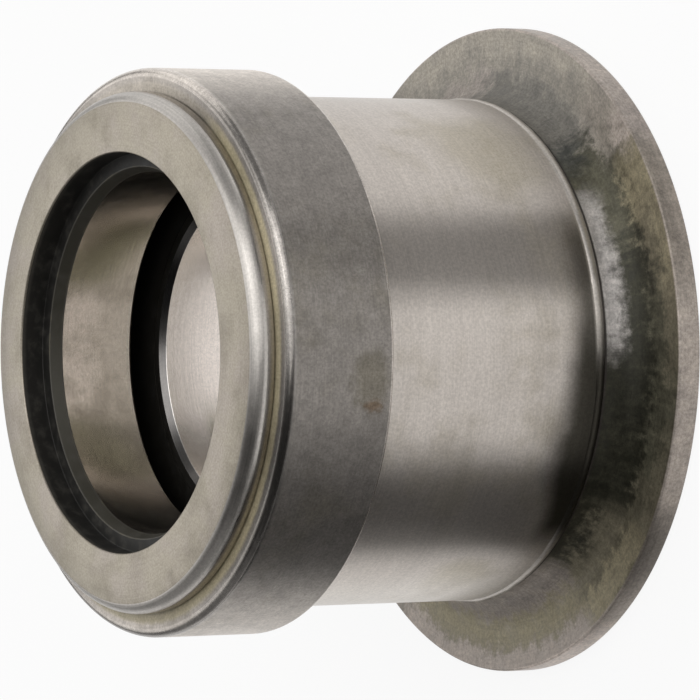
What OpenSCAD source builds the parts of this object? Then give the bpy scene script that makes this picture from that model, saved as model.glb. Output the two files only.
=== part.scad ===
// Clutch release bearing of the push type. A sliding sleeve with a fork flange carries a
// self-centring ball bearing, and the bearing's turning inner ring presses on the clutch.
// The axis is Z, the rear face of the flange lies at z = 0 and the contact face is on top.
// Lengths are in millimetres. Radii build up from the guide bore outwards, and heights
// build up from the flange to the contact face.

/* [Guide bore] */
// Diameter of the guide bore, which slides on the gearbox tube
guide_d = 50; // [40:0.5:60]
// Wall of a guide bush
bush_wall = 2.5; // [1.5:0.1:3.5]
// Length of a guide bush
bush_l = 20; // [10:0.5:25]
// Depth of the rear bush below the rear face
bush_inset = 1.5; // [0:0.1:6]
// Chamfer at the mouth of a guide bush
bush_chamfer = 0.9; // [0.3:0.1:1.4]

/* [Fork flange] */
// How far the flange stands out from the sleeve
flange_w = 11.95; // [8:0.05:20]
// Thickness of the flange
flange_t = 4.1; // [3:0.1:8]
// Height of the hub in front of the flange, which is also the radius of its fillet
hub_h = 5.9; // [3:0.1:8]
// Chamfer on both edges of the flange rim
rim_chamfer = 0.4; // [0.1:0.1:1]
// Chamfer at the rear mouth of the bush seat
mouth_chamfer = 1; // [0.3:0.1:1.4]

/* [Sliding sleeve] */
// Length of the sleeve from the weld line to the back of its collar
sleeve_l = 43.7; // [38:0.1:80]
// How far the front collar stands out from the sleeve
collar_h = 1.9; // [1.2:0.1:3]
// Thickness of the front collar
collar_t = 1.7; // [1.2:0.1:4]
// Depth of the recess in front of the collar, which clears the turning ring
recess_depth = 2; // [0.8:0.1:4]
// Section radius of the weld bead
bead_r = 1.3; // [1.1:0.1:2]
// Height of the weld bead above the sleeve
bead_h = 0.25; // [0.1:0.05:0.5]
// Distance from the weld line to the middle of the bead
bead_offset = 1; // [0.5:0.1:1]

/* [Bearing cap] */
// Sheet thickness of the cap
cap_wall = 2.25; // [1.5:0.05:3]
// Outside radius of the cap's shoulder
cap_shoulder_r = 1.4; // [0.8:0.1:3]
// Thickness of the lip that is rolled in behind the collar
cap_lip_t = 1.2; // [0.8:0.1:2.5]
// Rounding of the cap's rear edge
cap_edge_r = 0.5; // [0.2:0.1:0.7]
// Radial gap between the cap's opening and the neck of the contact ring
opening_gap = 2.5; // [1.8:0.1:3.5]

/* [Contact ring] */
// How far the rim of the nose lies inside the outside of the cap
nose_step = 3.8; // [2:0.1:6]
// Thickness of the nose at its rim
contact_t = 4.15; // [3.2:0.05:6]
// Rounding of the front edge of the nose
contact_edge_r = 2.4; // [0.5:0.1:2.6]
// Width of the flat land of the contact face, beside the counterbore
land_w = 2.5; // [1.5:0.1:4]
// Slope of the crowned contact face, in degrees, where it meets the rounded edge
crown_angle = 12; // [2:1:15]
// Chamfer on the rear edge of the nose
contact_rear_chamfer = 0.1; // [0.1:0.1:0.6]
// Gap between the rim of the nose and the cap
nose_gap = 0.25; // [0.2:0.05:2]
// Radial gap between the bore of the ring and the guide bore
ring_gap = 4; // [2.5:0.1:6]
// Step from the bore of the ring out to the counterbore in its face
counterbore_step = 3; // [1.5:0.1:4.5]
// Depth of the counterbore
counterbore_depth = 4.1; // [2:0.1:6]
// Width of the lead-in between the counterbore and the bore
lead_in_w = 0.75; // [0.3:0.05:1.2]
// Length of the lead-in along the axis
lead_in_l = 1.9; // [0.5:0.1:4]
// How far the ring reaches behind the outer ring
ring_tail = 1.35; // [0.3:0.05:2]
// Radial gap round the ring's tail in the sleeve's recess
tail_gap = 3.6; // [2:0.1:4.5]
// Chamfer on the rear edges of the ring
tail_chamfer = 0.5; // [0.2:0.1:0.9]

/* [Balls and races] */
// Diameter of a ball
ball_d = 7.938; // [6.35:0.001:9]
// Number of balls
ball_count = 22; // [12:1:23]
// Wall of the contact ring under its groove
inner_wall = 3.2; // [2:0.1:5]
// Wall of the outer ring under its groove
outer_wall = 2; // [1.6:0.1:4]
// Radius of a groove as a share of the ball's diameter
groove_share = 0.52; // [0.515:0.005:0.53]
// Height of the shoulder that holds the balls in on the open side of a groove
land_h = 0.45; // [0.2:0.05:0.6]
// How far the loaded shoulder of each ring stays short of the middle of the balls
shoulder_drop = 0.6; // [0.3:0.1:1.2]
// Chamfer on the edges of the outer ring
outer_chamfer = 0.5; // [0.2:0.1:0.8]

/* [Cage and seals] */
// Radial width of the cage
cage_w = 3.2; // [2:0.1:3.6]
// Thickness of the cage behind the balls
cage_base = 0.8; // [0.5:0.1:2]
// How far the cage's prongs reach past the middle of the balls
cage_prong = 1.6; // [0.8:0.1:2.4]
// Thickness of the front seal
seal_t = 1; // [0.7:0.1:2]
// Thickness of the front seal at its lip
seal_lip_t = 0.4; // [0.3:0.1:0.6]
// Thickness of the rear shield
shield_t = 0.8; // [0.5:0.1:1.5]
// Depth of the seats that hold the seal and the shield
seat_depth = 0.7; // [0.3:0.1:0.9]

/* [Spring and washer] */
// Thickness of the friction washer
washer_t = 1; // [0.6:0.1:2]
// Height that the wave spring is pressed to
spring_h = 1.7; // [1.2:0.1:3]
// Thickness of the wave spring
spring_t = 0.7; // [0.4:0.1:1]
// Number of waves in the spring
spring_waves = 6; // [3:1:9]

/* [Clearances] */
// Radial gap for the bearing to float sideways in the cap
float_gap = 1.1; // [0.9:0.1:2]
// Gap between a ball and each race
race_gap = 0.03; // [0.01:0.01:0.1]
// Gap between a ball and its pocket in the cage
pocket_gap = 0.15; // [0.05:0.01:0.3]
// Gap beside the balls and the cage
side_gap = 0.3; // [0.2:0.05:0.6]
// Gap between pieces that are pressed into each other
seat_gap = 0.02; // [0:0.01:0.05]
// Gap between flat faces that slide on each other
slide_gap = 0.05; // [0.02:0.01:0.1]
// Gap between a seal or shield and the turning ring
lip_gap = 0.2; // [0.1:0.05:0.4]
// Gap between the cap's rolled lip and the sleeve
roll_gap = 0.3; // [0.1:0.1:0.6]
// Width of the collar's face inside the spring and the washer
ledge = 0.5; // [0.2:0.1:1]

/* [Hidden] */
$fn = 128;
// Steps in a rounded corner
arc_steps = 10;
// Steps in one wave of the spring
wave_steps = 16;

// Radii, from the guide bore outwards
guide_r = guide_d / 2;
bush_r = guide_r + bush_wall;
ring_bore_r = guide_r + ring_gap;
counterbore_r = ring_bore_r + counterbore_step;
ball_r = ball_d / 2;
groove_r = ball_d * groove_share;
inner_groove_r = ring_bore_r + inner_wall;
pitch_r = inner_groove_r + race_gap + ball_r;
outer_groove_r = pitch_r + ball_r + race_gap;
outer_ring_r = outer_groove_r + outer_wall;
cap_inner_r = outer_ring_r + float_gap;
cap_r = cap_inner_r + cap_wall;
sleeve_r = cap_inner_r - collar_h;
flange_r = sleeve_r + flange_w;
hub_r = sleeve_r + bead_h - bead_r + sqrt(bead_r * bead_r - bead_offset * bead_offset);
contact_r = cap_r - nose_step;
neck_r = pitch_r - shoulder_drop;
opening_r = neck_r + opening_gap;
lip_r = sleeve_r + roll_gap;
inner_land_r = inner_groove_r + land_h;
outer_land_r = outer_groove_r - land_h;
outer_shoulder_r = pitch_r + shoulder_drop;
seal_seat_r = outer_land_r + seat_depth;
shield_seat_r = outer_shoulder_r + seat_depth;
recess_r = inner_land_r + tail_gap;
spring_in_r = recess_r + ledge;

// Heights, from the flange to the contact face
weld_z = flange_t + hub_h;
collar_z = weld_z + sleeve_l;
collar_front_z = collar_z + collar_t;
recess_z = collar_front_z - recess_depth;
washer_z = collar_front_z + spring_h;
outer_z = washer_z + washer_t + slide_gap;
cage_z = outer_z + shield_t + side_gap;
ball_z = cage_z + cage_base + ball_r;
seal_z = ball_z + ball_r + side_gap;
outer_front_z = seal_z + seal_t + slide_gap;
cap_front_z = outer_front_z + slide_gap + cap_wall;
nose_z = cap_front_z + nose_gap;
contact_z = nose_z + contact_t;
counterbore_z = contact_z - counterbore_depth;
tail_z = outer_z - ring_tail;
cap_rear_z = collar_z - cap_lip_t;

ball_nodes = [for (i = [1:ball_count]) str("ball_", i < 10 ? "0" : "", i)];

// Points along a round stretch of an outline, by its centre, radius and end angles
function arc(centre, r, from, to) = [
    for (i = [0:arc_steps])
        let (a = from + (to - from) * i / arc_steps)
        centre + r * [cos(a), sin(a)]
];

// Turns an outline of radius and height about the axis
module turned(outline) {
    rotate_extrude() polygon(outline);
}

// Plain ring between two radii and two heights
module ring(r_in, r_out, z_low, z_high) {
    turned([[r_in, z_low], [r_out, z_low], [r_out, z_high], [r_in, z_high]]);
}

// Place of one ball on the pitch circle
module on_pitch(i) {
    rotate(i * 360 / ball_count) translate([pitch_r, 0, ball_z]) children();
}

// Flange, with a hub that flares into it in one fillet
module fork_flange() {
    color("#7d776c")
    turned(concat(
        [
            [bush_r + seat_gap, mouth_chamfer],
            [bush_r + mouth_chamfer, 0],
            [flange_r - rim_chamfer, 0],
            [flange_r, rim_chamfer],
            [flange_r, flange_t - rim_chamfer],
            [flange_r - rim_chamfer, flange_t],
        ],
        arc([hub_r + hub_h, weld_z], hub_h, 270, 180),
        [[bush_r + seat_gap, weld_z]]
    ));
}

// Sleeve, with the weld bead at its rear end and the collar that carries the bearing
module sliding_sleeve() {
    bead_centre = [sleeve_r + bead_h - bead_r, weld_z + bead_offset];
    bead_rear_angle = -asin(bead_offset / bead_r);
    bead_front_angle = acos((bead_r - bead_h) / bead_r);
    collar_r = cap_inner_r - seat_gap;
    color("#b5b0a4")
    turned(concat(
        [[bush_r + seat_gap, weld_z]],
        arc(bead_centre, bead_r, bead_rear_angle, bead_front_angle),
        [
            [sleeve_r, collar_z],
            [collar_r, collar_z],
            [collar_r, collar_front_z],
            [recess_r, collar_front_z],
            [recess_r, recess_z],
            [bush_r + seat_gap, recess_z],
        ]
    ));
}

// Guide bush, chamfered at both mouths
module guide_bush(z_low) {
    z_high = z_low + bush_l;
    color("#d2cec5")
    turned([
        [guide_r, z_low + bush_chamfer],
        [guide_r + bush_chamfer, z_low],
        [bush_r, z_low],
        [bush_r, z_high],
        [guide_r + bush_chamfer, z_high],
        [guide_r, z_high - bush_chamfer],
    ]);
}

module front_guide_bush() {
    guide_bush(recess_z - bush_l);
}

module rear_guide_bush() {
    guide_bush(bush_inset);
}

// Drawn cap, closed at the front down to its opening and rolled in behind the collar
module bearing_cap() {
    inner_z = cap_front_z - cap_wall;
    color("#7f7b76")
    turned(concat(
        [
            [lip_r, cap_rear_z],
        ],
        arc([cap_r - cap_edge_r, cap_rear_z + cap_edge_r], cap_edge_r, 270, 360),
        arc([cap_r - cap_shoulder_r, cap_front_z - cap_shoulder_r], cap_shoulder_r, 0, 90),
        [
            [opening_r, cap_front_z],
            [opening_r, inner_z],
            [cap_inner_r, inner_z],
            [cap_inner_r, collar_z],
            [lip_r, collar_z],
        ]
    ));
}

// Inner ring of the bearing: its nose is the contact face, its neck carries the loaded shoulder
module contact_ring() {
    land_r = counterbore_r + land_w;
    crown_w = contact_r - contact_edge_r * (1 - sin(crown_angle)) - land_r;
    crown_r = crown_w / sin(crown_angle);
    edge_z = contact_z - crown_w * tan(crown_angle / 2) - contact_edge_r * cos(crown_angle);
    crown = arc([land_r, contact_z - crown_r], crown_r, 90 - crown_angle, 90);
    outline = concat(
        [
            [ring_bore_r + tail_chamfer, tail_z],
            [inner_land_r - tail_chamfer, tail_z],
            [inner_land_r, tail_z + tail_chamfer],
            [inner_land_r, ball_z],
            [neck_r, ball_z],
            [neck_r, nose_z],
            [contact_r - contact_rear_chamfer, nose_z],
            [contact_r, nose_z + contact_rear_chamfer],
        ],
        arc([contact_r - contact_edge_r, edge_z], contact_edge_r, 0, 90 - crown_angle),
        [for (i = [1:arc_steps]) crown[i]],
        [
            [counterbore_r, contact_z],
            [counterbore_r, counterbore_z],
            [ring_bore_r + lead_in_w, counterbore_z],
            [ring_bore_r, counterbore_z - lead_in_l],
            [ring_bore_r, tail_z + tail_chamfer],
        ]
    );
    color("#b9b1a3")
    rotate_extrude() difference() {
        polygon(outline);
        translate([inner_groove_r + groove_r, ball_z]) circle(groove_r);
    }
}

// Outer ring: loaded shoulder at the rear, seats for the shield and the seal
module outer_ring() {
    outline = [
        [shield_seat_r, outer_z],
        [outer_ring_r - outer_chamfer, outer_z],
        [outer_ring_r, outer_z + outer_chamfer],
        [outer_ring_r, outer_front_z - outer_chamfer],
        [outer_ring_r - outer_chamfer, outer_front_z],
        [seal_seat_r, outer_front_z],
        [seal_seat_r, seal_z],
        [outer_land_r, seal_z],
        [outer_land_r, ball_z],
        [outer_shoulder_r, ball_z],
        [outer_shoulder_r, outer_z + shield_t],
        [shield_seat_r, outer_z + shield_t],
    ];
    color("#c4c2bd")
    rotate_extrude() difference() {
        polygon(outline);
        translate([outer_groove_r - groove_r, ball_z]) circle(groove_r);
    }
}

// Seal pressed into the front of the outer ring, thinned towards its lip
module front_seal() {
    seal_r = seal_seat_r - seat_gap;
    seal_lip_r = neck_r + lip_gap;
    seal_front_z = seal_z + seal_t;
    color("#26241f")
    turned([
        [seal_lip_r, seal_front_z - seal_lip_t],
        [seal_r, seal_z],
        [seal_r, seal_front_z],
        [seal_lip_r, seal_front_z],
    ]);
}

module rear_shield() {
    color("#8d8a84") ring(inner_land_r + lip_gap, shield_seat_r - seat_gap, outer_z, outer_z + shield_t);
}

module friction_washer() {
    color("#6f675c") ring(spring_in_r, outer_ring_r, washer_z, washer_z + washer_t);
}

// Flat spring ring bent into even waves, between the collar and the friction washer
module wave_spring() {
    steps = spring_waves * wave_steps;
    middle_z = (collar_front_z + washer_z) / 2;
    amplitude = (spring_h - spring_t) / 2 - slide_gap;
    section = [
        [spring_in_r, -spring_t / 2],
        [outer_ring_r, -spring_t / 2],
        [outer_ring_r, spring_t / 2],
        [spring_in_r, spring_t / 2],
    ];
    corners = len(section);
    points = [
        for (i = [0:steps - 1], p = section)
            let (a = 360 * i / steps)
            [p[0] * cos(a), p[0] * sin(a), middle_z + p[1] + amplitude * cos(spring_waves * a)]
    ];
    faces = [
        for (i = [0:steps - 1], k = [0:corners - 1])
            let (here = i * corners, next = (i + 1) % steps * corners, k_next = (k + 1) % corners)
            [here + k, here + k_next, next + k_next, next + k]
    ];
    color("#5d5f63") polyhedron(points, faces, convexity = 4);
}

// Snap cage: a ring behind the balls, with prongs that reach up between them
module ball_cage() {
    cage_r = outer_shoulder_r - side_gap;
    color("#3d4a3f")
    difference() {
        ring(cage_r - cage_w, cage_r, cage_z, ball_z + cage_prong);
        for (i = [0:ball_count - 1]) on_pitch(i) sphere(ball_r + pocket_gap);
    }
}

module ball(i) {
    color("#cfd2d4") on_pitch(i) sphere(ball_r);
}

fork_flange();
sliding_sleeve();
front_guide_bush();
rear_guide_bush();
bearing_cap();
contact_ring();
outer_ring();
front_seal();
rear_shield();
friction_washer();
wave_spring();
ball_cage();
for (i = [0:ball_count - 1])
    ball(i);
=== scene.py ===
"""Clutch release bearing: turned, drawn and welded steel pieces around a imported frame.

Run as a script. Each piece has its own operator, and a panel in the sidebar lists them.
"""

import math

import bmesh
import bpy
from mathutils import Matrix, Vector, noise


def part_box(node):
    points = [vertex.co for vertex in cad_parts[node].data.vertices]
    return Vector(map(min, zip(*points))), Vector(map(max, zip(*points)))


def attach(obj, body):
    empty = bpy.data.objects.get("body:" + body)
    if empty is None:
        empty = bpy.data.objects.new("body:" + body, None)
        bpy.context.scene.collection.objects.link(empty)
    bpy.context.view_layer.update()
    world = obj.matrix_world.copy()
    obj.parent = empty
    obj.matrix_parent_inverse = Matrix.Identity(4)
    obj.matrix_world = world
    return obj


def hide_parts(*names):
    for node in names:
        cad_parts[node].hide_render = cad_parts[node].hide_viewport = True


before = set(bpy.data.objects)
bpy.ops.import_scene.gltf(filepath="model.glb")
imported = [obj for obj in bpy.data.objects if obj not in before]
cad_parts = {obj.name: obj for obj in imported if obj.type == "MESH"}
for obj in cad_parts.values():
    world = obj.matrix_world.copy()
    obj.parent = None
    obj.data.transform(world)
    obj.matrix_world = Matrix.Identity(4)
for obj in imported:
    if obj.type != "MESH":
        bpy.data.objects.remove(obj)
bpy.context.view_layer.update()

bl_info = {
    "name": "Clutch release bearing",
    "version": (1, 0, 0),
    "blender": (4, 5, 0),
    "location": "View3D > Sidebar > Release bearing",
    "description": "Models and finishes a clutch release bearing around its frame",
    "category": "Object",
}

MM = 0.001

# Steps round the axis of every turned piece, and round the sections of its edges
TURN_STEPS = 256
ARC_STEPS = 14
# Loops closer than this to a place count as being there
PLACE_TOLERANCE = 0.01 * MM
# Points closer than this are one point
MERGE_DISTANCE = 0.001 * MM
# Corners sharper than this stay crisp
CRISP_ANGLE = math.radians(35)


def outer_radius(node):
    """Largest radius of a CAD node about the axis."""
    low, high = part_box(node)
    return max(high.x, high.y, -low.x, -low.y)


def heights(node):
    """Lowest and highest point of a CAD node."""
    low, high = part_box(node)
    return low.z, high.z


FLANGE_R = outer_radius("fork_flange")
WELD_Z = heights("fork_flange")[1]
COLLAR_R = outer_radius("sliding_sleeve")
COLLAR_FRONT_Z = heights("sliding_sleeve")[1]
CAP_R = outer_radius("bearing_cap")
CAP_REAR_Z, CAP_FRONT_Z = heights("bearing_cap")
CONTACT_R = outer_radius("contact_ring")
TAIL_Z, CONTACT_Z = heights("contact_ring")
BUSH_R = outer_radius("front_guide_bush")
BALL_LOW_Z, BALL_HIGH_Z = heights("ball_01")
BALL_Z = (BALL_LOW_Z + BALL_HIGH_Z) / 2
BALL_R = (BALL_HIGH_Z - BALL_LOW_Z) / 2


def length(name, description, default):
    """A length property, in metres."""
    return bpy.props.FloatProperty(
        name=name, description=description, default=default,
        min=0.0, precision=5, subtype="DISTANCE", unit="LENGTH",
    )


def tilt(name, description, degrees):
    """An angle property."""
    return bpy.props.FloatProperty(
        name=name, description=description, default=math.radians(degrees), subtype="ANGLE", unit="ROTATION"
    )


def colour(name, description, default):
    """A linear colour property."""
    return bpy.props.FloatVectorProperty(
        name=name, description=description, default=default, min=0.0, max=1.0, size=3, subtype="COLOR"
    )


class BearingSizes(bpy.types.PropertyGroup):
    """Sizes that the frame's boxes don't give."""

    flange_t: length("Flange thickness", "Thickness of the fork flange", 4.1 * MM)
    rim_edge: length("Rim edge", "Rounding of the flange rim", 0.4 * MM)
    mouth_edge: length("Mouth edge", "Chamfer at the rear mouth of the bush seat", 1.0 * MM)
    sleeve_r: length("Sleeve radius", "Outside radius of the sliding sleeve", 41.398 * MM)
    bead_r: length("Bead section", "Section radius of the weld bead", 1.3 * MM)
    bead_h: length("Bead height", "Height of the weld bead above the sleeve", 0.25 * MM)
    bead_offset: length("Bead offset", "Distance from the weld line to the middle of the bead", 1.0 * MM)
    bead_ripple: length("Bead ripple", "How far the weld bead wanders in height", 0.12 * MM)
    ripple_l: length("Ripple length", "How long one ripple of the weld bead is", 2.5 * MM)
    collar_t: length("Collar thickness", "Thickness of the sleeve's front collar", 1.7 * MM)
    recess_r: length("Recess radius", "Radius of the recess in the sleeve's front", 36.25 * MM)
    recess_depth: length("Recess depth", "Depth of the recess in the sleeve's front", 2.0 * MM)
    guide_r: length("Guide bore radius", "Radius of the guide bore", 25.0 * MM)
    bush_edge: length("Bush chamfer", "Chamfer at the mouths of the guide bushes", 0.9 * MM)
    cap_wall: length("Cap wall", "Sheet thickness of the bearing cap", 2.25 * MM)
    cap_shoulder: length("Cap shoulder", "Outside radius of the cap's shoulder", 1.4 * MM)
    cap_edge: length("Cap edge", "Rounding of the cap's rear edge", 0.5 * MM)
    cap_opening_r: length("Cap opening", "Radius of the cap's front opening", 38.099 * MM)
    cap_lip_r: length("Cap lip", "Inner radius of the lip rolled in behind the collar", 41.698 * MM)
    cap_lip_t: length("Cap lip thickness", "Thickness of the rolled lip", 1.2 * MM)
    contact_t: length("Nose thickness", "Thickness of the contact ring's nose", 4.15 * MM)
    contact_edge: length("Nose edge", "Rounding of the nose's front edge", 2.4 * MM)
    face_land_w: length("Face land", "Width of the flat land round the counterbore", 2.5 * MM)
    crown_angle: tilt("Crown angle", "Slope of the crowned face where it meets the nose edge", 12)
    contact_rear_edge: length("Nose rear edge", "Rounding of the nose's rear edge", 0.1 * MM)
    counterbore_r: length("Counterbore radius", "Radius of the counterbore in the contact face", 32.0 * MM)
    counterbore_depth: length("Counterbore depth", "Depth of the counterbore", 4.1 * MM)
    ring_bore_r: length("Ring bore radius", "Radius of the contact ring's bore", 29.0 * MM)
    lead_in_w: length("Lead-in width", "Width of the lead-in to the contact ring's bore", 0.75 * MM)
    lead_in_l: length("Lead-in length", "Length of the lead-in along the axis", 1.9 * MM)
    neck_r: length("Neck radius", "Radius of the contact ring's neck", 35.599 * MM)
    land_r: length("Land radius", "Radius of the contact ring behind its ball groove", 32.65 * MM)
    groove_bottom_r: length("Groove bottom", "Radius at the bottom of the contact ring's groove", 32.2 * MM)
    groove_share: bpy.props.FloatProperty(
        name="Groove share", description="Radius of the ball groove as a share of the ball's diameter",
        default=0.52,
    )
    tail_edge: length("Tail edge", "Chamfer at the rear end of the contact ring", 0.5 * MM)
    mouth_round: length("Mouth rounding", "Rounding of the counterbore's mouth", 0.3 * MM)
    small_edge: length("Small edge", "Rounding of edges that were only deburred", 0.15 * MM)


class BearingColours(bpy.types.PropertyGroup):
    """Colours of the finishes."""

    contact_face: colour("Contact face", "Ground steel of the nose", (0.39, 0.352, 0.287))
    contact_stain: colour("Contact stain", "Darker film on the nose", (0.305, 0.272, 0.218))
    contact_rose: colour("Contact rose", "Rosy grey patches of the nose", (0.40, 0.354, 0.312))
    nose_edge: colour("Nose edge", "Burnished edge and side of the nose", (0.50, 0.472, 0.44))
    bore_grey: colour("Ring bore", "Honed bore of the contact ring", (0.66, 0.62, 0.565))
    scale_black: colour("Black scale", "Hardening scale left unground", (0.018, 0.017, 0.015))
    scale_grey: colour("Grey scale", "Thin scale on the lead-in", (0.055, 0.051, 0.039))
    scale_worn: colour("Worn scale", "Scale worn thin at the counterbore's mouth", (0.075, 0.07, 0.06))
    # Near-black on the floor of the recess behind the contact ring, and on the ends of the bushes
    recess_black: colour("Oil film", "Old oil in the recess behind the contact ring", (0.012, 0.011, 0.009))
    cap_grey: colour("Cap grey", "Satin drawn sheet", (0.255, 0.234, 0.214))
    cap_olive: colour("Cap film", "Olive oil film on the cap", (0.145, 0.128, 0.085))
    cap_front: colour("Cap front", "Oil film on the front of the cap, beside the nose", (0.40, 0.345, 0.22))
    cap_edge: colour("Cap edges", "Burnished shoulder and rear edge of the cap", (0.29, 0.27, 0.25))
    # Painted reflection on the cap's sides and shoulder, and a painted highlight along its rear edge
    cap_painted_reflection: colour("Cap sides", "Paler, warmer sheet at the two sides of the cap", (0.85, 0.775, 0.70))
    rust: colour("Rust", "Rust smear", (0.15, 0.085, 0.04))
    sleeve_bright: colour("Sleeve", "Bright turned steel", (0.575, 0.525, 0.48))
    # Painted reflection on one side of the sleeve, and a painted highlight on the weld bead
    sleeve_painted_reflection_and_highlight: colour("Sleeve pale", "Paler steel at one side of the sleeve", (0.70, 0.655, 0.60))
    sleeve_olive: colour("Sleeve film", "Olive film on the sleeve", (0.40, 0.355, 0.27))
    # Heat tint beside the weld, which also paints the dark flange's reflection on the sleeve
    sleeve_tint_and_painted_reflection: colour("Sleeve tint", "Heat tint on the sleeve beside the weld", (0.030, 0.027, 0.019))
    flange_grey: colour("Flange grey", "Turned steel of the flange", (0.19, 0.178, 0.157))
    flange_beige: colour("Flange beige", "Pale warm tint of the flange", (0.36, 0.328, 0.278))
    flange_black: colour("Flange black", "Burnt tint round the hub", (0.025, 0.024, 0.015))
    flange_dark: colour("Flange dark", "Dark heat tint", (0.062, 0.059, 0.041))
    flange_dim: colour("Flange dim", "Dim patches in the dark heat tint", (0.118, 0.111, 0.077))
    flange_olive: colour("Flange olive", "Olive heat tint", (0.21, 0.185, 0.13))
    flange_khaki: colour("Flange khaki", "Light olive heat tint", (0.34, 0.298, 0.20))
    flange_brown: colour("Flange brown", "Grey brown heat tint", (0.31, 0.278, 0.24))
    flange_blue: colour("Flange blue", "Blue grey heat tint", (0.15, 0.16, 0.165))
    flange_pale: colour("Flange pale", "Pale rosy grey of the flange", (0.46, 0.40, 0.358))
    # Painted highlight on the hub beside the weld
    flange_painted_highlight: colour("Flange silver", "Bright metal beside the weld", (0.56, 0.525, 0.50))
    weld_brown: colour("Weld line", "Burnt line of the weld", (0.045, 0.037, 0.032))
    bush_light: colour("Bush lining", "Bright bush lining", (0.93, 0.885, 0.85))
    # Painted shade on two sides of the front bush
    bush_painted_shade: colour("Bush oil", "Oil film on the sides of the front bush", (0.27, 0.268, 0.19))
    bearing_bright: colour("Bearing steel", "Ground bearing steel", (0.66, 0.66, 0.65))
    seal_black: colour("Seal", "Rubber of the seal", (0.02, 0.02, 0.019))
    cage_green: colour("Cage", "Moulded cage", (0.06, 0.075, 0.058))
    spring_blue: colour("Spring", "Blued spring steel", (0.13, 0.14, 0.17))
    washer_grey: colour("Washer", "Phosphated washer", (0.16, 0.15, 0.135))
    floor_white: colour("Floor", "Plain pale floor", (0.93, 0.93, 0.925))
    flag_black: colour("Flags", "Dark flags and card that only reflections see", (0.02, 0.02, 0.02))


class BearingView(bpy.types.PropertyGroup):
    """Camera of the rest view."""

    elevation: tilt("Elevation", "Angle of the camera above the floor", 31.91)
    roll: tilt("Roll", "Turn of the picture about the line of sight, on top of a quarter turn", -0.48)
    distance: length("Distance", "Distance of the contact face along the line of sight", 906.84 * MM)
    across: length("Across", "How far the contact face lies left of the picture's middle", 37.13 * MM)
    below: length("Below", "How far the contact face lies below the picture's middle", 0.47 * MM)
    lens: bpy.props.FloatProperty(
        name="Lens", description="Focal length in millimetres", default=292.5, min=1.0
    )


def sizes():
    return bpy.context.scene.bearing_sizes


def colours():
    return bpy.context.scene.bearing_colours


# Modelling helpers

def arc(centre, radius, start, end, steps=ARC_STEPS):
    """Loops along a round stretch of a section, as (radius, height), by end angles in degrees."""
    angles = [math.radians(start + (end - start) * i / steps) for i in range(steps + 1)]
    return [(centre[0] + radius * math.cos(a), centre[1] + radius * math.sin(a)) for a in angles]


def select_edges(mesh, test):
    """Selects the edges of a mesh in edit mode that pass a test, and nothing else."""
    work = bmesh.from_edit_mesh(mesh)
    for item in (*work.verts, *work.edges, *work.faces):
        item.select = False
    for edge in work.edges:
        if test(edge):
            edge.select = True
    work.select_flush_mode()
    bmesh.update_edit_mesh(mesh)


def select_loop(mesh, radius, height):
    """Selects the edges of the loop at one radius and height."""
    def in_place(v):
        return abs(v.co.xy.length - radius) < PLACE_TOLERANCE and abs(v.co.z - height) < PLACE_TOLERANCE

    select_edges(mesh, lambda edge: all(in_place(v) for v in edge.verts))


def start_piece(name, add, **shape):
    """Adds a primitive to start a piece from, alone in the selection."""
    bpy.ops.object.select_all(action="DESELECT")
    add(**shape)
    piece = bpy.context.active_object
    piece.name = name
    return piece


def extrude_ring(rise, grow):
    """Extrudes the selected ring up the axis and makes it larger or smaller."""
    bpy.ops.mesh.extrude_edges_move(TRANSFORM_OT_translate={"value": (0, 0, rise)})
    bpy.ops.transform.resize(value=(grow, grow, 1), center_override=(0, 0, 0))


def turn(name, section, edges=()):
    """Turns a closed section of (radius, height) loops into a ring, and rounds (loop, size, steps) edges."""
    last_r, last_z = section[0]
    circle = bpy.ops.mesh.primitive_circle_add
    piece = start_piece(name, circle, vertices=TURN_STEPS, radius=last_r, location=(0, 0, last_z))
    piece.data.name = name
    bpy.ops.object.transform_apply(location=True, rotation=True, scale=True)
    bpy.ops.object.mode_set(mode="EDIT")
    bpy.ops.mesh.select_mode(type="EDGE")
    bpy.ops.mesh.select_all(action="SELECT")
    for r, z in section[1:]:
        extrude_ring(z - last_z, r / last_r)
        last_r, last_z = r, z
    select_edges(piece.data, lambda edge: len(edge.link_faces) == 1)
    bpy.ops.mesh.bridge_edge_loops()
    bpy.ops.mesh.select_all(action="SELECT")
    bpy.ops.mesh.normals_make_consistent(inside=False)
    for (r, z), size, steps in edges:
        select_loop(piece.data, r, z)
        bpy.ops.mesh.bevel(
            offset=size, offset_type="OFFSET", segments=steps, affect="EDGES", clamp_overlap=False
        )
    bpy.ops.mesh.select_all(action="SELECT")
    bpy.ops.mesh.remove_doubles(threshold=MERGE_DISTANCE)
    bpy.ops.mesh.normals_make_consistent(inside=False)
    bpy.ops.object.mode_set(mode="OBJECT")
    return piece


def smooth(piece):
    """Smooth shading with crisp corners, and normals that keep flat faces flat."""
    bpy.ops.object.select_all(action="DESELECT")
    piece.select_set(True)
    bpy.context.view_layer.objects.active = piece
    bpy.ops.object.shade_smooth_by_angle(angle=CRISP_ANGLE)
    bpy.ops.object.modifier_add(type="WEIGHTED_NORMAL")
    piece.modifiers[-1].keep_sharp = True
    bpy.ops.object.modifier_apply(modifier=piece.modifiers[-1].name)


def place(piece, node, body, finishes):
    """Smooths a piece, gives it its finishes and its body, and lets it stand for a CAD node."""
    smooth(piece)
    for finish in finishes:
        piece.data.materials.append(finish)
    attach(piece, body)
    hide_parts(node)


# Finish helpers

# Most of a noise pattern lies in this span, about this middle
NOISE_SPAN = (0.3, 0.7)
NOISE_MIDDLE = 0.5
# Layers of noise in the turning lines
GRAIN_DETAIL = 2.0
# Sets stretched highlights across the turning lines
QUARTER_TURN = 0.25


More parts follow.
